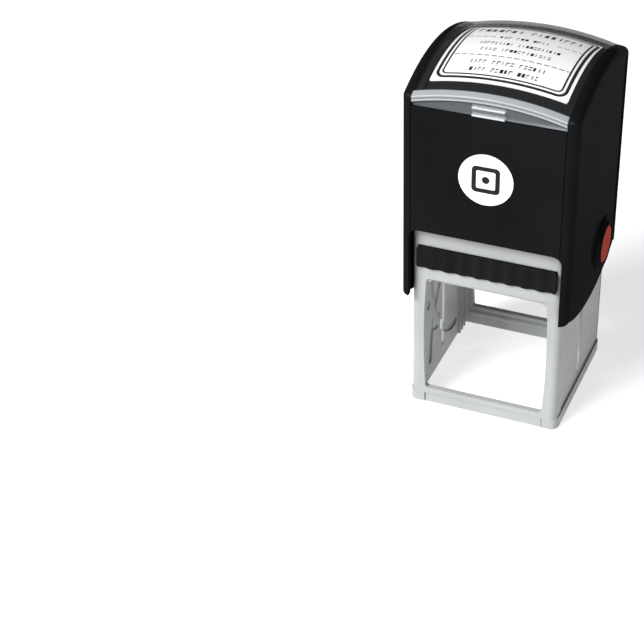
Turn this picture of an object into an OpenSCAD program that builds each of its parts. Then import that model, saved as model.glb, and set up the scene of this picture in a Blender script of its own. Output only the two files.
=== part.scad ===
// Self inking stamp: frame, sprung housing, flipping die carrier, pad cartridge and lock buttons.
// Units are millimetres. +Z is up, X runs across the front and the front faces -Y.
// The origin is the centre of the footprint, on the surface the stamp stands on.

/* [Overall] */
// frame width over its foot flange
frame_w = 52; // [44:0.1:63]
// frame depth front to back
frame_d = 52.1; // [44:0.1:63]
// how far the housing is pressed down
travel = 38; // [31:0.1:46]
// height of the rubber face above the carrier pivot
die_h = 7.5; // [6.5:0.25:9]

/* [Frame] */
// frame side wall thickness
side_t = 2.2; // [2:0.1:3]
// frame front and rear wall thickness
end_t = 1.95; // [1.5:0.05:2.5]
// front rail height
rail_h = 5.9; // [5:0.1:8]
// how far the foot flange stands out at the sides
foot_out = 0.4; // [0.2:0.1:0.6]
// foot flange height
foot_h = 4; // [2.5:0.5:5]
// frame corner radius
frame_r = 2.6; // [1.5:0.1:3.5]

/* [Housing] */
// housing wall thickness
shell_t = 2; // [1.6:0.1:2.6]
// housing corner radius
shell_r = 4; // [3:0.25:5]
// thickness of the cheeks beside the cover
cheek_t = 3.5; // [2.8:0.1:4.5]
// radius of the arched top, seen from the side
arch_r = 65; // [52:0.1:72]
// how far the arch is centred in front of the middle
arch_shift = 2; // [0:0.5:3]

/* [Cover and label] */
// rise of the cover across its width
cover_sag = 3; // [2:0.1:4]
// cover wall thickness
cover_t = 1.2; // [0.8:0.1:1.6]
// label card margin to the cheeks
label_gap = 2.8; // [2:0.1:5]

/* [Lock buttons] */
// lock button radius
button_r = 6.5; // [5:0.1:8]
// lock button centre behind the middle
button_y = 11; // [8:0.5:12.5]
// lock button stroke
button_stroke = 0.9; // [0.6:0.05:1]

/* [Carrier] */
// carrier axle pin radius
pin_r = 1.3; // [1.2:0.1:2.4]
// distance of the cam pegs from the axle
peg_rc = 13; // [11:0.5:14]
// cam peg radius
peg_r = 1.2; // [1:0.1:1.6]

/* [Main spring] */
// spring coil radius to the wire centre
coil_r = 7.4; // [6.5:0.1:8]
// spring wire diameter
wire_d = 1; // [0.8:0.05:1.1]

/* [Hidden] */
// running clearance of a pin in its bore, on the radius
run_c = 0.05;
// clearance between pieces that pass each other
gap = 0.3;
// play of a cam peg in its groove, on the radius
peg_c = 0.3;
// cut-through margin
e = 0.1;
pi = 3.14159265;

// frame body
fx = frame_w / 2 - foot_out;
fy = frame_d / 2;
ix = fx - side_t;
iy = fy - end_t;
win_x = ix - 2.95;

// die and carrier
die_x = win_x - 0.15;
die_y = iy - 3.8;
pivot_z = travel + die_h;
swing = sqrt(die_y * die_y + die_h * die_h);
flip_ratio = travel / pi;
lead = atan2(die_h, die_y);
top_a = max(0, acos(min(1, flip_ratio / swing)) - lead);
rise = max(0, -top_a * pi / 180 * flip_ratio + die_h * (cos(top_a) - 1) + die_y * sin(top_a));
plate_x = die_x + 0.45;
boss_x = ix - 0.5;
pin_reach = 0.9;

// pad cartridge above the die
pad_z = pivot_z + die_h + rise + 0.4;
tray_z0 = pad_z + 0.6;
tray_z1 = pad_z + 6.1;
tray_x = ix - gap;
tray_y = iy - 0.5;
strip_z0 = pad_z - 1.6;
strip_z1 = pad_z + 6.3;
strip_x = tray_x + 0.5;
win_top = strip_z0 - 4.7;

// frame top
deck_z0 = tray_z1 + 0.4;
deck_z1 = deck_z0 + 2.1;
tower_z = deck_z1 + 7.1;

// housing
hx = frame_w / 2 + gap + shell_t;
hy = fy + 1.95 + shell_t;
hix = hx - shell_t;
hiy = hy - shell_t;
low_z = travel + gap;
skirt_z = travel + 6.5;
open_z = strip_z1 + 7.7;
open_x = hix - 0.9;
stop_z = tower_z + travel + 2;
front_z = stop_z + 2.4;
panel_in = 0.4;
panel_y = hy - 4;
arc_h = skirt_z - low_z - 0.2;
arc_rad = (panel_y * panel_y + arc_h * arc_h) / (2 * arc_h);

// arched top: centre line of the arch, in Y and Z
ay = -arch_shift;
az = front_z + 4.2 - sqrt(arch_r * arch_r - (hy - 2 - arch_shift) * (hy - 2 - arch_shift));
cheek_x = hx - cheek_t;
dome_r = arch_r + cover_sag;
dome_rho = (cheek_x * cheek_x + cover_sag * cover_sag) / (2 * cover_sag);
rim_t = 1.7;
rim_w = 1.7;

// label card
label_x = cheek_x - label_gap;
label_y = hiy - 6.8;
label_t = 0.4;
seat_r = dome_r - cover_t - 1.4;

// lock buttons
button_z = skirt_z + 8.1;
collar_w = 2.8;
collar_x = hx + 1.2;
cap_x = collar_x - 0.15;
cap_t = 0.7;
flange_t = 0.6;
flange_w = 0.6;
well_floor = hix + 0.7;
well_roof = well_floor + flange_t + button_stroke + 0.1;
cup_r = button_r - 1.4;
stem_r = 1.7;

// ---------- helpers ----------

// rectangle with round corners, centred
module rrect(x, y, r) {
    union() {
        square([2 * x - 2 * r, 2 * y], center = true);
        square([2 * x, 2 * y - 2 * r], center = true);
        for (sx = [-1, 1], sy = [-1, 1]) translate([sx * (x - r), sy * (y - r)]) circle(r = r, $fn = 48);
    }
}

// box given by its low and high corners
module box(a, b) { translate(a) cube(b - a); }

// both signs of X
module both() { children(); mirror([1, 0, 0]) children(); }

// front and rear
module ends() { children(); mirror([0, 1, 0]) children(); }

// cylinder along X
module xcyl(r, x0, x1, y, z) {
    translate([x0, y, z]) rotate([0, 90, 0]) cylinder(r = r, h = x1 - x0, $fn = 64);
}

// side view profile (Y, Z) pushed along X
module side(x0, x1) {
    translate([x0, 0, 0]) rotate([90, 0, 90]) linear_extrude(height = x1 - x0) children();
}

// front view profile (X, Z) pushed along Y
module face(y0, y1) {
    translate([0, y1, 0]) rotate([90, 0, 0]) linear_extrude(height = y1 - y0) children();
}

// body of revolution about the arch line; profile is (X, radius) with a crowned outer edge
module crown(r, x) {
    translate([0, ay, az]) rotate([0, 90, 0]) rotate_extrude($fn = 240)
        intersection() {
            translate([r - dome_rho, 0]) circle(r = dome_rho, $fn = 400);
            translate([r - 25, -x]) square([40, 2 * x]);
        }
}

// half circle strip of spring wire along a helix
module coil(r0, r1, w, h, turns, steps, sides) {
    n = turns * steps;
    pts = [for (i = [0:n]) for (j = [0:sides - 1])
        let (a = 360 * i / steps, t = i / n, b = 360 * j / sides,
             r = r0 + (r1 - r0) * t + w / 2 * cos(b))
        [r * cos(a), r * sin(a), w / 2 + (h - w) * t + w / 2 * sin(b)]];
    walls = [for (i = [0:n - 1]) for (j = [0:sides - 1])
        let (k = (j + 1) % sides)
        [i * sides + j, i * sides + k, (i + 1) * sides + k, (i + 1) * sides + j]];
    cap0 = [[for (j = [sides - 1:-1:0]) j]];
    cap1 = [[for (j = [0:sides - 1]) n * sides + j]];
    polyhedron(points = pts, faces = concat(walls, cap0, cap1), convexity = 12);
}

// path of a cam peg on the frame, in Y and Z: s is 1 for the rear peg, -1 for the front peg
function peg_at(s, a) = [s * peg_rc * cos(a), pivot_z - a * pi / 180 * flip_ratio + s * peg_rc * sin(a)];
function slope_at(s, a) = [-s * peg_rc * sin(a), -flip_ratio + s * peg_rc * cos(a)];
function unit(v) = v / norm(v);
function side_at(s, a, w) = let (d = unit(slope_at(s, a))) peg_at(s, a) + w * [-d[1], d[0]];

// cam groove seen from the side
module cam_track(s) {
    w = peg_r + peg_c;
    n = 18;
    union() {
        polygon(concat([for (i = [0:n]) side_at(s, 180 * i / n, w)],
                       [for (i = [n:-1:0]) side_at(s, 180 * i / n, -w)]));
        translate(peg_at(s, 0)) circle(r = w, $fn = 48);
        translate(peg_at(s, 180)) circle(r = w, $fn = 48);
    }
}

// window in the frame's front, with slightly bowed sides
module window2d(z0, z1, r) {
    zm = (z0 + z1) / 2;
    hh = (z1 - z0) / 2;
    bow = 0.7;
    rb = (hh * hh + bow * bow) / (2 * bow);
    union() {
        translate([0, zm]) rrect(win_x, hh, r);
        for (m = [0, 1]) mirror([m, 0]) intersection() {
            translate([win_x + bow - rb, zm]) circle(r = rb, $fn = 720);
            translate([win_x - 3, zm - hh + r]) square([6, 2 * hh - 2 * r]);
        }
    }
}

// ---------- frame ----------

module frame() {
    color([0.86, 0.87, 0.87])
    difference() {
        union() {
            // walls and foot flange
            difference() {
                union() {
                    linear_extrude(height = tower_z) rrect(fx, fy, frame_r);
                    linear_extrude(height = foot_h) rrect(fx + foot_out, fy, frame_r);
                }
                translate([0, 0, -e]) linear_extrude(height = tower_z + 2 * e) rrect(ix, iy, 1);
            }
            // roof with the spring seat
            box([-ix - e, -iy - e, deck_z0], [ix + e, iy + e, deck_z1]);
            translate([0, 0, deck_z1 - e]) cylinder(r = coil_r - wire_d / 2 - 0.5, h = 2.4 + e, $fn = 64);
            translate([0, 0, deck_z1 - e]) difference() {
                cylinder(r = coil_r + 2.6, h = 2 + e, $fn = 64);
                translate([0, 0, 1 + e]) cylinder(r = coil_r + 1.2, h = 3, $fn = 64);
            }
            // ledges that carry the cartridge
            both() box([tray_x - 1.5 + gap, -iy - e, tray_z0 - 1.9], [ix + e, iy + e, tray_z0 - gap]);
            // round beads along the tops of the front and rear rails
            ends() intersection() {
                translate([-win_x - 2, -fy + 1.3, rail_h - 1.3]) rotate([0, 90, 0])
                    cylinder(r = 1.3, h = 2 * win_x + 4, $fn = 48);
                box([-win_x - 1, -fy, 0], [win_x + 1, -iy + 1, rail_h + 1]);
            }
            // inner ribs behind the axle slots
            both() for (y = [peg_rc + 3.1, peg_rc + 5.6, peg_rc + 8.1])
                box([ix - 0.9, y, 0], [ix + e, y + 0.8, tray_z0 - 2.5]);
        }
        // front and rear windows
        face(-fy - 2, -fy + 0.7) window2d(rail_h, win_top, 1.2);
        // gussets fill its upper corners behind the face
        face(-fy + 0.6, -iy + e) difference() {
            window2d(rail_h, win_top, 1.2);
            for (m = [0, 1]) mirror([m, 0])
                polygon([[win_x - 3, win_top + 1], [win_x - 3, win_top], [win_x + 0.7, win_top - 2.6],
                         [win_x + 2, win_top - 2.6], [win_x + 2, win_top + 1]]);
        }
        face(iy - e, fy + 2) window2d(rail_h + 1.4, win_top, 0.4);
        // cartridge slots
        ends() face(-fy - 2, -iy + 1.2) translate([0, (tray_z0 + tray_z1) / 2])
            square([2 * (tray_x + gap), tray_z1 - tray_z0 + 2 * gap], center = true);
        // side faces stand back a little behind the front posts
        both() box([fx - 0.3, -panel_y + 6, foot_h], [fx + 1, panel_y - 2, tower_z + e]);
        // axle slots
        both() side(ix - 2, fx + 2) union() {
            translate([-pin_r - 0.2, pivot_z - travel]) square([2 * pin_r + 0.4, travel]);
            translate([0, pivot_z]) circle(r = pin_r + 0.2, $fn = 48);
            translate([0, pivot_z - travel]) circle(r = pin_r + 0.2, $fn = 48);
        }
        // cam grooves
        both() side(ix - 1, ix + 0.7) cam_track(-1);
        both() side(ix - 1, ix + 0.7) cam_track(1);
        // front and rear rails stand back a little under their beads
        ends() box([-win_x, -fy - 1, -e], [win_x, -fy + 0.25, rail_h - 2.3]);
        // shallow round pockets in front of the axle slots
        both() side(ix - 1, ix + 0.5) union() {
            translate([-6.9, pivot_z - 25.4]) circle(r = 3.3, $fn = 64);
            translate([-15.4, pivot_z - 13.5]) circle(r = 1.8, $fn = 48);
        }
        // seam beside each end of the front rail
        both() box([win_x + 0.1, -fy - 1, 0.6], [win_x + 0.28, -fy + 0.4, rail_h - 2.3]);
    }
}

// ---------- pad cartridge ----------

module pad_cartridge() {
    color([0.06, 0.06, 0.065])
    difference() {
        union() {
            box([-tray_x, -tray_y, tray_z0], [tray_x, tray_y, tray_z1]);
            // necks through the frame walls
            box([-tray_x, -fy - 0.1 - e, tray_z0], [tray_x, -tray_y + e, tray_z1]);
            box([-tray_x, tray_y - e, tray_z0], [tray_x, fy + 0.3, tray_z1]);
            // front grip strip
            difference() {
                translate([0, -fy - 0.1, (strip_z0 + strip_z1) / 2]) rotate([90, 0, 0])
                    linear_extrude(height = 1.2) rrect(strip_x, (strip_z1 - strip_z0) / 2, 1.2);
                for (i = [-4:4]) translate([i * strip_x * 2 / 9, -fy - 1.3 - 3.5, strip_z0 - 1])
                    cylinder(r = 4, h = strip_z1 - strip_z0 + 2, $fn = 64);
            }
        }
        // pad recess, open downwards
        box([-tray_x + 1.4, -tray_y + 1.4, tray_z0 - 1], [tray_x - 1.4, tray_y - 1.4, tray_z1 - 1.2]);
    }
}

module ink_pad() {
    color([0.10, 0.10, 0.14])
    translate([0, 0, pad_z]) linear_extrude(height = tray_z1 - 1.2 - pad_z)
        rrect(tray_x - 1.5, tray_y - 1.5, 1);
}

// ---------- housing ----------

// corner round between an upright face at y = s * hy and the arch
function fillet_c(s, r, rad) = [s * (hy - rad), az + sqrt((r - rad) * (r - rad) - pow(s * (hy - rad) - ay, 2))];

module fillet_cut(s, r, rad) {
    c = fillet_c(s, r, rad);
    d = unit(c - [ay, az]);
    difference() {
        polygon([c, c + [s * (rad + 3), 0], c + [s * (rad + 3), rad + 6], c + (rad + 6) * d]);
        translate(c) circle(r = rad, $fn = 96);
    }
}

// rounded block under the arch, up to the cheeks' height
module arch_block(x, y, r, rr) {
    intersection() {
        translate([0, ay, az]) rotate([0, 90, 0]) rotate_extrude($fn = 240) intersection() {
            translate([0, 0]) rrect(arch_r, x, rr);
            translate([5, -x - 1]) square([arch_r + 5, 2 * x + 2]);
        }
        translate([0, 0, low_z]) linear_extrude(height = arch_r * 2) rrect(x, y, r);
    }
}

module housing() {
    color([0.025, 0.025, 0.03])
    difference() {
        union() {
            // shell under the arch
            difference() {
                union() {
                    translate([0, 0, low_z]) linear_extrude(height = front_z - low_z) rrect(hx, hy, shell_r);
                    intersection() {
                        arch_block(hx, hy, shell_r, 3);
                        box([-hx - 1, -hy - 1, front_z - 1], [hx + 1, hy + 1, az + arch_r + 1]);
                    }
                }
                // inside of the shell
                translate([0, 0, low_z - 1]) linear_extrude(height = stop_z - low_z + 1)
                    rrect(hix, hiy, shell_r - shell_t);
                translate([0, 0, stop_z - e]) linear_extrude(height = arch_r) rrect(cheek_x, hiy - 2, 1.5);
                box([-cheek_x, -hy - 1, front_z], [cheek_x, hy + 1, az + arch_r + 5]);
                // slots in the shell above the stop are closed by the label seat
            }
            // walls of the front and rear clip pockets
            intersection() {
                ends() box([-cheek_x - e, -hiy + 0.6, stop_z + 0.2], [cheek_x + e, -hiy + 2.2, az + arch_r + 5]);
                crown(seat_r, cheek_x + e);
            }
            // label seat
            intersection() {
                difference() {
                    crown(seat_r, cheek_x + e);
                    crown(seat_r - 1.8, cheek_x + 1);
                }
                box([-cheek_x - e, -hiy + 0.6, stop_z], [cheek_x + e, hiy - 0.6, az + arch_r + 5]);
            }
            // raised edges beside the label that carry the cover
            both() intersection() {
                difference() {
                    crown(dome_r - cover_t - 0.05, cheek_x + e);
                    crown(seat_r - 1, cheek_x + 1);
                }
                box([label_x + gap, -hiy + 0.6, stop_z], [cheek_x + e, hiy - 0.6, az + arch_r + 5]);
            }
            // raised rear edge behind the label
            intersection() {
                difference() {
                    crown(dome_r - cover_t - 0.05, cheek_x + e);
                    crown(seat_r - 1, cheek_x + 1);
                }
                box([-cheek_x - e, label_y + 1.2, stop_z], [cheek_x + e, hiy - 0.6, az + arch_r + 5]);
            }
            // spring socket and its cross ribs
            difference() {
                intersection() {
                    union() {
                        translate([0, 0, stop_z]) cylinder(r = coil_r + 2.2, h = 30, $fn = 64);
                        translate([-cheek_x - e, -0.8, stop_z + 1]) cube([2 * cheek_x + 2 * e, 1.6, 30]);
                        translate([-0.8, -hiy + 2, stop_z + 1]) cube([1.6, 2 * hiy - 4, 30]);
                    }
                    crown(seat_r - 0.9, cheek_x + 1);
                }
                translate([0, 0, stop_z - 1]) difference() {
                    cylinder(r = coil_r + 1.1, h = 2, $fn = 64);
                    cylinder(r = coil_r - 1.2, h = 4, $fn = 64);
                }
            }
            translate([0, 0, stop_z - 2]) cylinder(r = coil_r - 1.2, h = 4, $fn = 64);
            // guide ribs that run on the frame's corners
            both() ends() box([strip_x + gap, -hiy - e, open_z + 0.5], [hix + e, -fy - gap, stop_z + e]);
            both() ends() box([fx + gap, -panel_y + 2.5, skirt_z + 2], [hix + e, -panel_y + 5, stop_z - 8]);
            // collars round the lock buttons
            both() translate([hx - panel_in, button_y, button_z]) rotate([0, 90, 0])
                cylinder(r1 = button_r + collar_w, r2 = button_r + 0.9, h = collar_x - hx + panel_in, $fn = 96);
        }
        // arched top: round the front and rear corners
        side(-hx - 1, hx + 1) fillet_cut(-1, arch_r, 3.6);
        side(-hx - 1, hx + 1) fillet_cut(1, arch_r, 5);
        // front and rear openings with round upper corners
        face(-hy - 1, -hiy + 2.2) union() {
            translate([0, low_z + (open_z - low_z) / 2]) rrect(open_x, (open_z - low_z) / 2, 3);
            translate([-open_x, low_z - 5]) square([2 * open_x, 15]);
        }
        face(hiy - 2.2, hy + 1) union() {
            translate([0, low_z + (open_z - low_z) / 2]) rrect(open_x, (open_z - low_z) / 2, 3);
            translate([-open_x, low_z - 5]) square([2 * open_x, 15]);
        }
        // lower edge: an arc under each side panel, square skirts at the corners
        side(-hx - 1, hx + 1) difference() {
            translate([-hy - 1, low_z - 2]) square([2 * hy + 2, skirt_z - low_z + 2]);
            translate([0, low_z + arc_rad]) circle(r = arc_rad, $fn = 360);
        }
        // side panels stand back a little
        both() difference() {
            box([hx - panel_in, -panel_y, low_z - 2], [hx + 1, panel_y, front_z + 0.8]);
            xcyl(button_r + collar_w + 0.1, hx - 2, hx + 4, button_y, button_z);
        }
        // fine grooves beside the front and rear panels
        both() ends() box([cheek_x - 0.2, -hy - 1, open_z - 1], [cheek_x + 0.2, -hy + 0.3, front_z + e]);
        // axle bores and lock button bores
        both() xcyl(pin_r + run_c, hix - 2, hix + pin_reach + 0.2, 0, pivot_z);
        both() xcyl(stem_r + run_c, hix - 2, collar_x + 1, button_y, button_z);
        both() xcyl(button_r + 0.1, well_floor, collar_x + 1, button_y, button_z);
        both() xcyl(button_r + flange_w + 0.1, well_floor, well_roof, button_y, button_z);
        // lower outer corners of the skirts are round
        both() ends() face(-hy - 1, -panel_y) difference() {
            translate([hx - 1.2, skirt_z - 1]) square([3, 2.2]);
            translate([hx - 1.2, skirt_z + 1.2]) circle(r = 1.2, $fn = 64);
        }
    }
}

module window_cover() {
    color([0.80, 0.84, 0.87, 0.4])
    union() {
        intersection() {
            difference() {
                crown(dome_r, cheek_x - 0.15);
                crown(dome_r - cover_t, cheek_x + 1);
            }
            box([-cheek_x, -hy + 0.2, front_z], [cheek_x, hy - 0.2, az + dome_r + 1]);
        }
        // thick rims at the front and rear
        ends2() intersection() {
            difference() {
                crown(dome_r - 0.3, cheek_x - 0.15);
                crown(dome_r - rim_t, cheek_x + 1);
            }
            box([-cheek_x, -hy + 0.2, front_z], [cheek_x, -hy + 0.2 + rim_w, az + dome_r + 1]);
        }
        // thin lips under the rims, down to the clip pockets
        ends2() intersection() {
            crown(dome_r - 0.3, cheek_x - 0.15);
            box([-cheek_x, -hy + 0.9, front_z + 0.1], [cheek_x, -hy + 1.5, az + dome_r]);
        }
        // clip tabs
        ends2() union() {
            box([-5.2, -hy + 0.5, front_z + 0.1], [5.2, -hy + 1.4, front_z + 5]);
            box([-5.2, -hy + 0.2, front_z + 0.1], [5.2, -hy + 1.4, front_z + 0.9]);
            box([-5.2, -hy + 0.2, front_z + 2.7], [5.2, -hy + 1.4, front_z + 3.4]);
        }
    }
}

// front and rear of a shape that isn't the same at both ends
module ends2() {
    children();
    intersection() {
        mirror([0, 1, 0]) children();
        crown(dome_r, cheek_x);
    }
}

module index_label() {
    color([0.95, 0.95, 0.93])
    intersection() {
        difference() {
            crown(seat_r + 0.05 + label_t, cheek_x);
            crown(seat_r + 0.05, cheek_x + 1);
        }
        translate([0, 0, front_z]) linear_extrude(height = 40) rrect(label_x, label_y, 0.6);
    }
}

module front_badge() {
    color([0.95, 0.95, 0.95])
    translate([0, -hy, (open_z + front_z) / 2 + 1]) rotate([90, 0, 0]) cylinder(r = 8.9, h = 0.15, $fn = 96);
}

module main_spring() {
    color([0.6, 0.6, 0.62])
    translate([0, 0, deck_z1 + 1]) coil(coil_r, coil_r, wire_d, stop_z - deck_z1 - 1, 6, 20, 8);
}

// ---------- die carrier ----------

module die_carrier() {
    color([0.85, 0.86, 0.86])
    intersection() {
        box([-hx, -die_y - 1, pivot_z - 9], [hx, die_y + 1, pivot_z + 3.5]);
        union() {
        translate([0, 0, pivot_z + 0.2]) linear_extrude(height = 3.3) rrect(plate_x, die_y, 1.2);
        // stiffening web under the plate
        box([-plate_x, -4, pivot_z - 2], [plate_x, 4, pivot_z + 1]);
        both() {
            xcyl(pin_r, plate_x - 1, hix + pin_reach, 0, pivot_z);
            xcyl(pin_r + 2, plate_x - 2.5, boss_x, 0, pivot_z);
            for (s = [-1, 1]) {
                xcyl(peg_r, plate_x - 1, ix + 0.5, s * peg_rc, pivot_z);
                xcyl(peg_r + 1.2, plate_x - 2.5, boss_x, s * peg_rc, pivot_z);
            }
            box([plate_x - 2.5, -peg_rc, pivot_z - 1.2], [plate_x, peg_rc, pivot_z + 1]);
        }
        }
    }
}

module die_plate() {
    color([0.82, 0.83, 0.84])
    translate([0, 0, pivot_z + 3.5]) linear_extrude(height = 1.2) rrect(die_x, die_y - 0.3, 1);
}

module die_cushion() {
    color([0.25, 0.25, 0.27])
    translate([0, 0, pivot_z + 4.7]) linear_extrude(height = die_h - 6.1) rrect(die_x - 0.3, die_y - 0.6, 1);
}

module rubber_die() {
    color([0.55, 0.12, 0.10])
    translate([0, 0, pivot_z + die_h - 1.4]) union() {
        linear_extrude(height = 0.8) rrect(die_x - 0.3, die_y - 0.6, 1);
        // raised border and plain bars of the design
        translate([0, 0, 0.7]) linear_extrude(height = 0.7) difference() {
            rrect(die_x - 1, die_y - 1, 2);
            rrect(die_x - 2.2, die_y - 2.2, 1.5);
        }
        for (i = [-3:3]) translate([0, i * die_y * 0.24, 1.05])
            cube([(i % 2 == 0 ? 1.35 : 1.1) * die_x, 1.6, 0.7], center = true);
    }
}

// ---------- lock buttons ----------

module lock_button_right() {
    color([0.75, 0.16, 0.11])
    union() {
        difference() {
            union() {
                translate([cap_x - 1.2, button_y, button_z]) rotate([0, 90, 0]) rotate_extrude($fn = 64)
                    intersection() {
                        rrect(button_r, 1.2, 0.5);
                        square([button_r, 3]);
                    }
                xcyl(button_r, well_roof - 0.05 - flange_t, cap_x - 1, button_y, button_z);
                xcyl(button_r + flange_w, well_roof - 0.05 - flange_t, well_roof - 0.05, button_y, button_z);
            }
            xcyl(cup_r, hix, cap_x - cap_t, button_y, button_z);
        }
        xcyl(stem_r, hix + 0.2, cap_x - cap_t / 2, button_y, button_z);
    }
}

module lock_button_left() { mirror([1, 0, 0]) lock_button_right(); }

module button_spring_right() {
    color([0.6, 0.6, 0.62])
    translate([well_floor + 0.02, button_y, button_z]) rotate([0, 90, 0])
        coil(cup_r - 0.5, cup_r - 1.5, 0.3, cap_x - cap_t - well_floor - 0.04, 2, 20, 8);
}

module button_spring_left() { mirror([1, 0, 0]) button_spring_right(); }

frame();
pad_cartridge();
ink_pad();
housing();
window_cover();
index_label();
front_badge();
main_spring();
die_carrier();
die_plate();
die_cushion();
rubber_die();
lock_button_left();
lock_button_right();
button_spring_left();
button_spring_right();
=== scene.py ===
import math
import random

import bpy
from mathutils import Matrix, Vector
from mathutils.bvhtree import BVHTree


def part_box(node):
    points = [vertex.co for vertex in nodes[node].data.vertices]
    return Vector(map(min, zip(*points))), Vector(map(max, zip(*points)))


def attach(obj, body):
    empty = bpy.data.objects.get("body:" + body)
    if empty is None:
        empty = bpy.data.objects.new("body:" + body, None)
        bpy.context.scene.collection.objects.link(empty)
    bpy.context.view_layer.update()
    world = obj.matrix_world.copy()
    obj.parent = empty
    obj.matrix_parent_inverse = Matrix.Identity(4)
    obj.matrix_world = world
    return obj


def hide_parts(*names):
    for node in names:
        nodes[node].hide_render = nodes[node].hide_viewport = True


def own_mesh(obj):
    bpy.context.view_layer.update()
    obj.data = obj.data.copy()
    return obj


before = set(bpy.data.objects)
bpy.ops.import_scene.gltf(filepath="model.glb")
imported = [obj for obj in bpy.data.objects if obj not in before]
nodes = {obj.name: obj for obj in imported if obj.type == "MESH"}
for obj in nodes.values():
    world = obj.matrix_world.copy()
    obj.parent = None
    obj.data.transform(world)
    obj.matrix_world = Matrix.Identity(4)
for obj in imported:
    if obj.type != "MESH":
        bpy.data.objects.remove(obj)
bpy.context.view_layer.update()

MM = 0.001
rng = random.Random(7)

# anything left of the start-up scene goes
for stray in ("Cube", "Light", "Camera"):
    o = bpy.data.objects.get(stray)
    if o is not None and stray not in nodes:
        bpy.data.objects.remove(o)


# the cover's domed outer face: it turns about a line along X, and is crowned across
DOME_Y, DOME_Z = -2.0 * MM, 59.03 * MM  # where that line lies
DOME_R = 68.0 * MM  # radius about the line, at the middle of the cover
CROWN_R = 104.0 * MM  # radius of the crown

CORNER_STEPS = 8  # straight lines in a printed quarter circle


# ---------------------------------------------------------------- materials

class Maker:
    """Builds one node material around a Principled shader."""

    def __init__(self, name, colour, rough, bevel=0.25 * MM, **sockets):
        self.mat = bpy.data.materials.new(name)
        self.mat.use_nodes = True
        self.mat.diffuse_color = (*colour, 1)
        self.tree = self.mat.node_tree
        self.bsdf = self.tree.nodes["Principled BSDF"]
        self.bsdf.inputs["Base Color"].default_value = (*colour, 1)
        self.bsdf.inputs["Roughness"].default_value = rough
        self.coord = self.node("ShaderNodeTexCoord").outputs["Object"]
        self.normal = None
        for key, value in sockets.items():
            self.bsdf.inputs[key.replace("_", " ")].default_value = value
        if bevel:
            b = self.node("ShaderNodeBevel", samples=4)
            b.inputs["Radius"].default_value = bevel
            self.normal = b.outputs["Normal"]
            self.link(self.normal, self.bsdf.inputs["Normal"])

    def node(self, kind, **props):
        n = self.tree.nodes.new(kind)
        for key, value in props.items():
            setattr(n, key, value)
        return n

    def link(self, a, b):
        self.tree.links.new(a, b)

    def noise(self, scale, detail=3.0, stretch=(1, 1, 1)):
        m = self.node("ShaderNodeMapping")
        m.inputs["Scale"].default_value = stretch
        self.link(self.coord, m.inputs["Vector"])
        n = self.node("ShaderNodeTexNoise")
        n.inputs["Scale"].default_value = scale
        n.inputs["Detail"].default_value = detail
        self.link(m.outputs["Vector"], n.inputs["Vector"])
        return n.outputs["Fac"]

    def ramp(self, fac, stops):
        r = self.node("ShaderNodeValToRGB")
        while len(r.color_ramp.elements) < len(stops):
            r.color_ramp.elements.new(0.5)
        for e, (pos, col) in zip(r.color_ramp.elements, stops):
            e.position = pos
            e.color = (*col, 1) if len(col) == 3 else col
        self.link(fac, r.inputs["Fac"])
        return r.outputs["Color"]

    def span(self, fac, low, high, a=0.35, b=0.65):
        r = self.node("ShaderNodeMapRange")
        for key, value in (("From Min", a), ("From Max", b), ("To Min", low), ("To Max", high)):
            r.inputs[key].default_value = value
        self.link(fac, r.inputs["Value"])
        return r.outputs["Result"]

    def colour(self, fac, low, high, a=0.35, b=0.65):
        self.link(self.ramp(fac, [(a, low), (b, high)]), self.bsdf.inputs["Base Color"])

    def rough(self, fac, low, high):
        self.link(self.span(fac, low, high), self.bsdf.inputs["Roughness"])

    def bump(self, fac, strength, depth):
        b = self.node("ShaderNodeBump")
        b.inputs["Strength"].default_value = strength
        b.inputs["Distance"].default_value = depth
        self.link(fac, b.inputs["Height"])
        if self.normal is not None:
            self.link(self.normal, b.inputs["Normal"])
        self.link(b.outputs["Normal"], self.bsdf.inputs["Normal"])
        self.normal = b.outputs["Normal"]


def grey_plastic(name, low, high, rough):
    m = Maker(name, high, rough, Specular_IOR_Level=0.16)
    m.colour(m.noise(38, 4), low, high)
    m.rough(m.noise(260, 3), rough - 0.05, rough + 0.07)
    m.bump(m.noise(2600, 2), 0.25, 0.02 * MM)
    return m.mat


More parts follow.
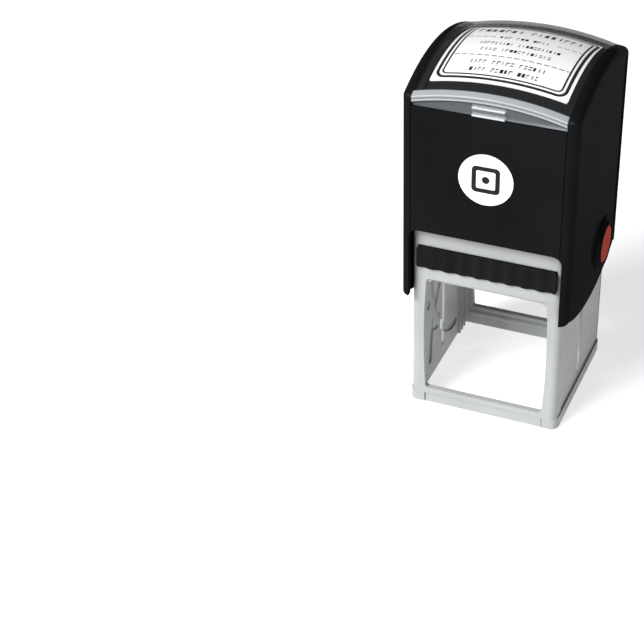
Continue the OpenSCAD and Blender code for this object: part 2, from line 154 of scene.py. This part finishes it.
def make_materials():
    mats = {}
    for key, low, high, rough in (
            ("frame", (0.355, 0.369, 0.363), (0.388, 0.402, 0.396), 0.42),
            ("carrier", (0.54, 0.56, 0.56), (0.60, 0.62, 0.62), 0.45),
            ("plate", (0.48, 0.50, 0.51), (0.55, 0.57, 0.58), 0.5)):
        mats[key] = grey_plastic(key + "_plastic", low, high, rough)

    m = Maker("housing_gloss", (0.006, 0.006, 0.007), 0.3, Specular_IOR_Level=0.0,
              Coat_Weight=0.025, Coat_Roughness=0.04, Coat_IOR=1.45)
    m.colour(m.noise(30, 3), (0.0062, 0.0066, 0.0074), (0.0084, 0.0089, 0.0098))
    m.rough(m.noise(90, 4), 0.27, 0.36)
    m.bump(m.noise(420, 2), 0.05, 0.01 * MM)
    m.link(m.normal, m.bsdf.inputs["Coat Normal"])
    mats["housing"] = m.mat

    m = Maker("cartridge_plastic", (0.006, 0.006, 0.007), 0.36, Specular_IOR_Level=0.07)
    m.colour(m.noise(60, 3), (0.0045, 0.0048, 0.0052), (0.0070, 0.0074, 0.0080))
    m.rough(m.noise(300, 3), 0.33, 0.45)
    m.bump(m.noise(2400, 2), 0.3, 0.02 * MM)
    mats["cartridge"] = m.mat

    m = Maker("inked_felt", (0.01, 0.01, 0.014), 0.75, bevel=0, Sheen_Weight=0.25)
    m.colour(m.noise(900, 6), (0.006, 0.006, 0.009), (0.028, 0.028, 0.036))
    m.rough(m.noise(420, 4), 0.55, 0.9)
    m.bump(m.noise(1500, 8), 0.8, 0.12 * MM)
    mats["felt"] = m.mat

    m = Maker("button_red", (0.37, 0.048, 0.031), 0.4, Specular_IOR_Level=0.0,
              Coat_Weight=0.04, Coat_Roughness=0.15)
    m.colour(m.noise(120, 3), (0.34, 0.044, 0.028), (0.40, 0.052, 0.034))
    m.rough(m.noise(500, 3), 0.36, 0.5)
    m.bump(m.noise(1800, 2), 0.15, 0.015 * MM)
    mats["button"] = m.mat

    m = Maker("spring_steel", (0.56, 0.56, 0.58), 0.3, bevel=0, Metallic=1.0)
    m.colour(m.noise(700, 3), (0.42, 0.42, 0.44), (0.62, 0.62, 0.64))
    m.rough(m.noise(1500, 3, (1, 1, 6)), 0.22, 0.4)
    mats["steel"] = m.mat

    m = Maker("die_rubber", (0.26, 0.035, 0.028), 0.62)
    m.colour(m.noise(240, 4), (0.20, 0.026, 0.021), (0.30, 0.042, 0.034))
    m.rough(m.noise(700, 3), 0.52, 0.75)
    m.bump(m.noise(1800, 4), 0.3, 0.03 * MM)
    mats["rubber"] = m.mat

    m = Maker("cushion_foam", (0.05, 0.05, 0.055), 0.9, bevel=0)
    m.colour(m.noise(1600, 3), (0.030, 0.030, 0.034), (0.075, 0.075, 0.082))
    m.rough(m.noise(900, 3), 0.8, 0.95)
    m.bump(m.noise(1500, 6), 0.9, 0.15 * MM)
    mats["foam"] = m.mat

    m = Maker("label_card", (0.94, 0.94, 0.93), 0.6, bevel=0)
    m.colour(m.noise(45, 4), (0.92, 0.92, 0.915), (0.96, 0.96, 0.95))
    m.rough(m.noise(900, 4), 0.52, 0.68)
    m.bump(m.noise(2200, 5), 0.25, 0.02 * MM)
    mats["card"] = m.mat

    m = Maker("print_ink", (0.010, 0.010, 0.011), 0.5, bevel=0, Specular_IOR_Level=0.15)
    m.colour(m.noise(900, 4), (0.006, 0.006, 0.007), (0.014, 0.014, 0.015))
    m.rough(m.noise(1200, 3), 0.42, 0.6)
    mats["ink"] = m.mat

    m = Maker("badge_white", (0.86, 0.86, 0.86), 0.35, bevel=0)
    m.colour(m.noise(80, 3), (0.84, 0.84, 0.84), (0.89, 0.89, 0.89))
    m.rough(m.noise(600, 3), 0.3, 0.42)
    mats["badge"] = m.mat
    mats["clear"] = clear_plastic()
    return mats


def clear_plastic():
    """Thin clear moulding: see-through over the label, more solid at grazing angles and in its two rims;
    the front rim carries painted highlights and painted shade, the rear rim painted shade.
    """
    m = Maker("cover_clear", (0.60, 0.63, 0.65), 0.08, bevel=0.2 * MM, Specular_IOR_Level=0.5)
    m.rough(m.noise(70, 3), 0.05, 0.10)

    def calc(op, a, b=None):
        n = m.node("ShaderNodeMath", operation=op)
        for i, v in enumerate((a, b)):
            if v is None:
                continue
            if isinstance(v, (int, float)):
                n.inputs[i].default_value = v
            else:
                m.link(v, n.inputs[i])
        return n.outputs[0]

    sep = m.node("ShaderNodeSeparateXYZ")
    m.link(m.coord, sep.inputs[0])
    x, y, z = sep.outputs
    low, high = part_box("window_cover")

    rim = 1.7 * MM  # thickness of the front rim, and depth of the band along its top
    tab_half = 5.3 * MM  # half width of the clip tab
    first_bar = 0.85 * MM  # top of the tab's lower bar, over the cover's lowest edge
    second_bar, bar_half = 2.95 * MM, 0.42 * MM  # middle of its upper bar, and half its height
    base_alpha, edge_alpha, edge_power = 0.015, 0.30, 6.0

    # depth under the domed outer face
    reach = calc("SQRT", calc("ADD", calc("POWER", calc("SUBTRACT", y, DOME_Y), 2.0),
                              calc("POWER", calc("SUBTRACT", z, DOME_Z), 2.0)))
    crown = calc("SQRT", calc("SUBTRACT", CROWN_R ** 2, calc("POWER", x, 2.0)))
    face = calc("ADD", crown, DOME_R - CROWN_R)
    depth = calc("SUBTRACT", face, reach)
    lift = calc("SUBTRACT", z, low.z)

    # how solid the rims look: the front one has a band, clip tab and lip, the rear one is nearly opaque and
    # carries painted shade
    front = m.span(y, 1.0, 0.0, low.y + rim, low.y + 2.1 * MM)
    rear = m.span(y, 0.0, 0.88, high.y - 4.2 * MM, high.y - 3.0 * MM)
    band = m.span(depth, 0.82, 0.22, 1.65 * MM, 1.8 * MM)
    under_band = calc("GREATER_THAN", depth, rim)
    tab = calc("MULTIPLY", calc("LESS_THAN", calc("ABSOLUTE", x), tab_half), under_band)
    off_second = calc("ABSOLUTE", calc("SUBTRACT", lift, second_bar))
    bars = calc("ADD", calc("LESS_THAN", lift, first_bar), calc("LESS_THAN", off_second, bar_half))
    clip = calc("MULTIPLY", tab, calc("ADD", calc("MULTIPLY", bars, 0.45), 0.38))
    # the lip's lower edge is made more solid and gets a painted highlight, stronger towards its right-hand
    # end
    lip_highlight_fade = m.span(lift, 1.0, 0.0, 0.1 * MM, 1.6 * MM)
    highlight_to_right = m.span(x, 0.10, 0.55, low.x, high.x)
    lip_highlight = calc("MULTIPLY", under_band, calc("MULTIPLY", lip_highlight_fade, highlight_to_right))
    front_parts = calc("MAXIMUM", band, calc("MAXIMUM", clip, lip_highlight))
    solid = calc("MAXIMUM", calc("MULTIPLY", front, front_parts), rear)

    # colour: painted highlights and painted shade as stripes along the band, painted highlights on the
    # tab's bars and the lip's lower edge, painted shade over the rear rim
    # painted highlights and painted shade in stripes across the band's depth
    band_light_and_shade = m.ramp(m.span(depth, 0.0, 1.0, 0.0, 1.8 * MM),
                  [(0.0, (0.40, 0.42, 0.44)), (0.14, (0.58, 0.61, 0.63)), (0.34, (0.20, 0.215, 0.225)),
                   (0.58, (0.22, 0.235, 0.245)), (0.76, (0.50, 0.53, 0.55)), (0.92, (0.40, 0.43, 0.45)),
                   (1.0, (0.24, 0.26, 0.28))])
    # painted highlight: a bright grey over the clip tab's bars and the lip's lower edge
    highlight_mix = m.node("ShaderNodeMix", data_type="RGBA")
    m.link(calc("MAXIMUM", calc("MULTIPLY", tab, bars), calc("MULTIPLY", lip_highlight, 1.2)),
           highlight_mix.inputs["Factor"])
    m.link(band_light_and_shade, highlight_mix.inputs["A"])
    highlight_mix.inputs["B"].default_value = (0.62, 0.65, 0.67, 1)
    # painted shade: near-black over the rear half, all but the outer skin
    rear_shade_mix = m.node("ShaderNodeMix", data_type="RGBA")
    m.link(calc("MULTIPLY", calc("GREATER_THAN", y, 0.0), calc("GREATER_THAN", depth, 0.12 * MM)),
           rear_shade_mix.inputs["Factor"])
    m.link(highlight_mix.outputs["Result"], rear_shade_mix.inputs["A"])
    rear_shade_mix.inputs["B"].default_value = (0.030, 0.032, 0.036, 1)
    m.link(rear_shade_mix.outputs["Result"], m.bsdf.inputs["Base Color"])

    facing = m.node("ShaderNodeLayerWeight")
    facing.inputs["Blend"].default_value = 0.5
    edge = calc("MULTIPLY", calc("POWER", facing.outputs["Facing"], edge_power), edge_alpha)
    m.link(calc("MAXIMUM", solid, calc("ADD", edge, base_alpha)), m.bsdf.inputs["Alpha"])
    return m.mat


MATS = make_materials()


def paint(node, key):
    o = nodes[node]
    if not o.material_slots:
        o.data.materials.append(MATS[key])
    for s in o.material_slots:
        s.link = "OBJECT"
        s.material = MATS[key]


for node, key in (("frame", "frame"), ("pad_cartridge", "cartridge"), ("ink_pad", "felt"),
                  ("housing", "housing"), ("window_cover", "clear"), ("index_label", "card"),
                  ("front_badge", "badge"), ("main_spring", "steel"), ("die_carrier", "carrier"),
                  ("die_plate", "plate"), ("die_cushion", "foam"), ("rubber_die", "rubber"),
                  ("lock_button_left", "button"), ("lock_button_right", "button"),
                  ("button_spring_left", "steel"), ("button_spring_right", "steel")):
    paint(node, key)


# ---------------------------------------------------------------- pieces made here

def mesh_piece(name, verts, faces, mat, body, smooth=False):
    me = bpy.data.meshes.new(name)
    me.from_pydata([tuple(v) for v in verts], [], faces)
    me.update()
    for p in me.polygons:
        p.use_smooth = smooth
    o = bpy.data.objects.new(name, me)
    bpy.context.scene.collection.objects.link(o)
    me.materials.append(mat)
    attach(o, body)
    return o


class Crown:
    """Height of the domed label card over any point, found from the CAD card itself."""

    def __init__(self, node):
        me = nodes[node].data
        me.calc_loop_triangles()
        self.tree = BVHTree.FromPolygons([v.co for v in me.vertices],
                                         [tuple(t.vertices) for t in me.loop_triangles])

    def z(self, x, y):
        hit = self.tree.ray_cast(Vector((x, y, 1.0)), Vector((0, 0, -1)))
        return hit[0].z if hit[0] is not None else None


def rounded(half_x, half_y, r):
    """Points round a rectangle with rounded corners, about the middle."""
    points = []
    for sx, sy, start in ((1, 1, 0), (-1, 1, 90), (-1, -1, 180), (1, -1, 270)):
        for k in range(CORNER_STEPS + 1):
            a = math.radians(start + k * 90 / CORNER_STEPS)
            points.append((sx * (half_x - r) + r * math.cos(a), sy * (half_y - r) + r * math.sin(a)))
    return points


def label_print():
    """Printed design on the card: a double border, two thin rules and rows of plain bars."""
    low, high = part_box("index_label")
    cx, cy = (low.x + high.x) / 2, (low.y + high.y) / 2
    hw, hh = (high.x - low.x) / 2, (high.y - low.y) / 2
    top = Crown("index_label")
    lift = 0.03 * MM  # how far the print lies over the card
    verts, faces = [], []

    def quad_strip(points_a, points_b, closed=False):
        base = len(verts)
        n = len(points_a)
        for a, b in zip(points_a, points_b):
            for p in (a, b):
                z = top.z(p[0], p[1])
                verts.append((p[0], p[1], (z if z is not None else low.z) + lift))
        for i in range(n if closed else n - 1):
            j = (i + 1) % n
            faces.append((base + 2 * i, base + 2 * j, base + 2 * j + 1, base + 2 * i + 1))

    def ring(x, y, r, w):
        def path(x, y, r):
            pts = rounded(x, y, r)
            out = []
            for p, q in zip(pts, pts[1:] + pts[:1]):
                steps = max(1, int(math.hypot(q[0] - p[0], q[1] - p[1]) / (1.5 * MM)))
                out += [(p[0] + (q[0] - p[0]) * t / steps, p[1] + (q[1] - p[1]) * t / steps)
                        for t in range(steps)]
            return [(cx + u, cy + v) for u, v in out]
        outer = path(x, y, r)
        inner = []
        for (px, py) in outer:
            dx, dy = px - cx, py - cy
            kx = min(max(dx, -(x - r)), x - r)
            ky = min(max(dy, -(y - r)), y - r)
            n = Vector((dx - kx, dy - ky))
            n = n.normalized() if n.length > 1e-9 else Vector((0, 0))
            inner.append((px - n.x * w, py - n.y * w))
        quad_strip(outer, inner, closed=True)

    def bar(x0, x1, y, h):
        steps = max(1, int((x1 - x0) / (1.2 * MM)))
        xs = [x0 + (x1 - x0) * t / steps for t in range(steps + 1)]
        quad_strip([(cx + x, cy + y + h / 2) for x in xs], [(cx + x, cy + y - h / 2) for x in xs])

    ring(hw - 1.0 * MM, hh - 1.0 * MM, 3.2 * MM, 1.0 * MM)
    ring(hw - 2.7 * MM, hh - 2.7 * MM, 2.0 * MM, 0.6 * MM)

    def row(share, h, words, pitch):
        """One centred line of word-like groups of short bars, at a share of the card's depth."""
        y = hh - share * 2 * hh
        cells = []
        for count in words:
            cells += [1] * count + [0]
        cells = cells[:-1]
        total = len(cells) * pitch
        start = -total / 2
        for i, on in enumerate(cells):
            if not on:
                continue
            x = start + (i + 0.12) * pitch
            w = pitch * rng.choice((0.55, 0.7, 0.76))
            kind = rng.randrange(4)
            t = h * 0.30
            if kind == 0:
                bar(x, x + w, y, h)
            elif kind == 1:
                bar(x, x + w * 0.3, y, h)
                bar(x, x + w, y + h / 2 - t / 2, t)
            elif kind == 2:
                bar(x, x + w, y + h / 2 - t / 2, t)
                bar(x, x + w, y - h / 2 + t / 2, t)
            else:
                bar(x + w * 0.35, x + w * 0.65, y, h)

    def rule(share, gap=0.0):
        """One thin dashed rule, left open for gap to each side of the middle."""
        y = hh - share * 2 * hh
        end = hw - 3.6 * MM
        dash, space, thick = 1.7 * MM, 0.7 * MM, 0.38 * MM
        x = -end
        while x < end - 0.4 * MM:
            x1 = min(x + dash, end)
            if abs((x + x1) / 2) > gap:
                bar(x, x1, y, thick)
            x = x1 + space

    row(0.200, 3.2 * MM, (7, 8), 2.15 * MM)
    rule(0.369, 9.5 * MM)
    row(0.369, 1.7 * MM, (3, 3, 4), 1.35 * MM)
    row(0.490, 1.7 * MM, (9, 11), 1.25 * MM)
    row(0.595, 1.7 * MM, (4, 12), 1.35 * MM)
    rule(0.690)
    row(0.775, 1.8 * MM, (4, 5, 6), 1.45 * MM)
    row(0.868, 1.8 * MM, (4, 5, 5), 1.4 * MM)
    mesh_piece("label_print", verts, faces, MATS["ink"], "housing")


def badge_mark():
    """Plain rounded-square outline with a dot, printed on the front disc."""
    low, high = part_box("front_badge")
    cx, cz = (low.x + high.x) / 2, (low.z + high.z) / 2
    y = low.y - 0.012 * MM  # just proud of the disc
    verts, faces = [], []

    outer, inner = rounded(4.6 * MM, 4.6 * MM, 1.5 * MM), rounded(3.1 * MM, 3.1 * MM, 0.5 * MM)
    for p, q in zip(outer, inner):
        verts += [(cx + p[0], y, cz + p[1]), (cx + q[0], y, cz + q[1])]
    n = len(outer)
    for i in range(n):
        j = (i + 1) % n
        faces.append((2 * i, 2 * i + 1, 2 * j + 1, 2 * j))
    base = len(verts)
    steps, dot_r = 24, 1.25 * MM
    for i in range(steps):
        a = 2 * math.pi * i / steps
        verts.append((cx + dot_r * math.cos(a), y, cz + dot_r * math.sin(a)))
    faces.append(tuple(base + i for i in range(steps)))
    mesh_piece("badge_mark", verts, faces, MATS["ink"], "housing")


def spring(name, node, body, along, r0, r1, wire, turns):
    """Round-wire helix in the place of a CAD spring, which it hides."""
    low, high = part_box(node)
    mid = (low + high) / 2
    axis = Vector(along)

    def tip(sign):
        return Vector([high[i] if axis[i] * sign > 0 else low[i] if axis[i] * sign < 0 else mid[i]
                       for i in range(3)])

    start, end = tip(-1), tip(1)
    length = (end - start).length - wire
    u = axis.orthogonal().normalized()
    v = axis.cross(u)
    steps, sides = 40, 10
    n = int(turns * steps)
    verts, faces = [], []
    for i in range(n + 1):
        t = i / n
        a = 2 * math.pi * i / steps
        # the end turns lie nearly flat
        s = (t * turns - 0.9 * math.sin(2 * math.pi * t) / (2 * math.pi)) / turns
        out = u * math.cos(a) + v * math.sin(a)
        c = start + axis * (wire / 2 + length * s)
        r = r0 + (r1 - r0) * t
        for k in range(sides):
            b = 2 * math.pi * k / sides
            verts.append(c + out * (r + wire / 2 * math.cos(b))
                         + axis * (wire / 2 * math.sin(b)))
    for i in range(n):
        for k in range(sides):
            k2 = (k + 1) % sides
            faces.append((i * sides + k, i * sides + k2,
                          (i + 1) * sides + k2, (i + 1) * sides + k))
    faces.append(tuple(reversed(range(sides))))
    faces.append(tuple(n * sides + k for k in range(sides)))
    o = mesh_piece(name, verts, faces, MATS["steel"], body, smooth=True)
    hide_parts(node)
    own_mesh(o)


label_print()
badge_mark()
low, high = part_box("main_spring")
wire = 1.0 * MM
coil_r = (high.x - low.x) / 2 - wire / 2
spring("main_coil", "main_spring", "housing", (0, 0, 1),
       coil_r, coil_r, wire, 7)
wire = 0.3 * MM
for tag, sign in (("left", -1), ("right", 1)):
    low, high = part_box("button_spring_" + tag)
    big = (high.z - low.z) / 2 - wire / 2
    spring("button_coil_" + tag, "button_spring_" + tag, "housing",
           (sign, 0, 0), big, big - 1.0 * MM, wire, 2)


# ---------------------------------------------------------------- studio

def floor():
    m = Maker("studio_floor", (0.51, 0.51, 0.51), 0.7, bevel=0, Specular_IOR_Level=0.0)
    m.colour(m.noise(3, 3), (0.50, 0.50, 0.50), (0.52, 0.52, 0.52))
    m.bsdf.inputs["Emission Color"].default_value = (1, 1, 1, 1)
    m.bsdf.inputs["Emission Strength"].default_value = 0.68
    half, drop = 4.0, 0.05 * MM  # just under the foot, so the two faces aren't in one plane
    corners = ((-1, -1), (1, -1), (1, 1), (-1, 1))
    me = bpy.data.meshes.new("studio_floor")
    me.from_pydata([(x * half, y * half, -drop) for x, y in corners], [], [(0, 1, 2, 3)])
    me.update()
    o = bpy.data.objects.new("studio_floor", me)
    bpy.context.scene.collection.objects.link(o)
    me.materials.append(m.mat)


def area_light(name, place, aim, size_x, size_y, watts):
    d = bpy.data.lights.new(name, "AREA")
    d.energy = watts
    d.shape = "RECTANGLE"
    d.size = size_x
    d.size_y = size_y
    o = bpy.data.objects.new(name, d)
    bpy.context.scene.collection.objects.link(o)
    o.location = place
    o.rotation_euler = (Vector(aim) - Vector(place)).to_track_quat("-Z", "Y").to_euler()


def sun_light(name, azimuth, elevation, strength, angle):
    """Sun from an azimuth measured from the front (-Y) towards the left (-X), in degrees."""
    d = bpy.data.lights.new(name, "SUN")
    d.energy = strength
    d.angle = math.radians(angle)
    o = bpy.data.objects.new(name, d)
    bpy.context.scene.collection.objects.link(o)
    a, e = math.radians(azimuth), math.radians(elevation)
    towards = Vector((-math.sin(a) * math.cos(e), -math.cos(a) * math.cos(e), math.sin(e)))
    o.rotation_euler = towards.to_track_quat("Z", "Y").to_euler()


floor()
sun_light("key_light", 30, 42, 4.7, 28)
area_light("kicker_light", (0.50, -0.38, 0.16), (0.028, -0.02, 0.11), 0.012, 0.03, 0.4)

world = bpy.data.worlds.new("studio")
bpy.context.scene.world = world
world.use_nodes = True
bg = world.node_tree.nodes["Background"]
bg.inputs["Color"].default_value = (1, 1, 1, 1)
bg.inputs["Strength"].default_value = 0.10

# camera: direction of view as azimuth, elevation and roll, then how far off and where it aims
AZIMUTH, ELEVATION, ROLL = math.radians(23.78), math.radians(34.66), math.radians(-1.67)
DISTANCE, LENS = 0.6547, 101.5
AIM = Vector((-0.0696, 0.0, 0.00379))
back = Vector((math.sin(AZIMUTH) * math.cos(ELEVATION), -math.cos(AZIMUTH) * math.cos(ELEVATION),
               math.sin(ELEVATION)))
right = Vector((math.cos(AZIMUTH), math.sin(AZIMUTH), 0))
up = back.cross(right)
r2 = right * math.cos(ROLL) + up * math.sin(ROLL)
u2 = up * math.cos(ROLL) - right * math.sin(ROLL)
cam_data = bpy.data.cameras.new("camera")
cam_data.sensor_width = 36
cam_data.lens = LENS
cam_data.clip_start = 0.01
cam = bpy.data.objects.new("camera", cam_data)
bpy.context.scene.collection.objects.link(cam)
turn = Matrix((r2, u2, back)).transposed().to_4x4()
cam.matrix_world = Matrix.Translation(AIM + back * DISTANCE) @ turn
bpy.context.scene.camera = cam

view = bpy.context.scene.view_settings
view.view_transform = "Standard"
view.look = "None"
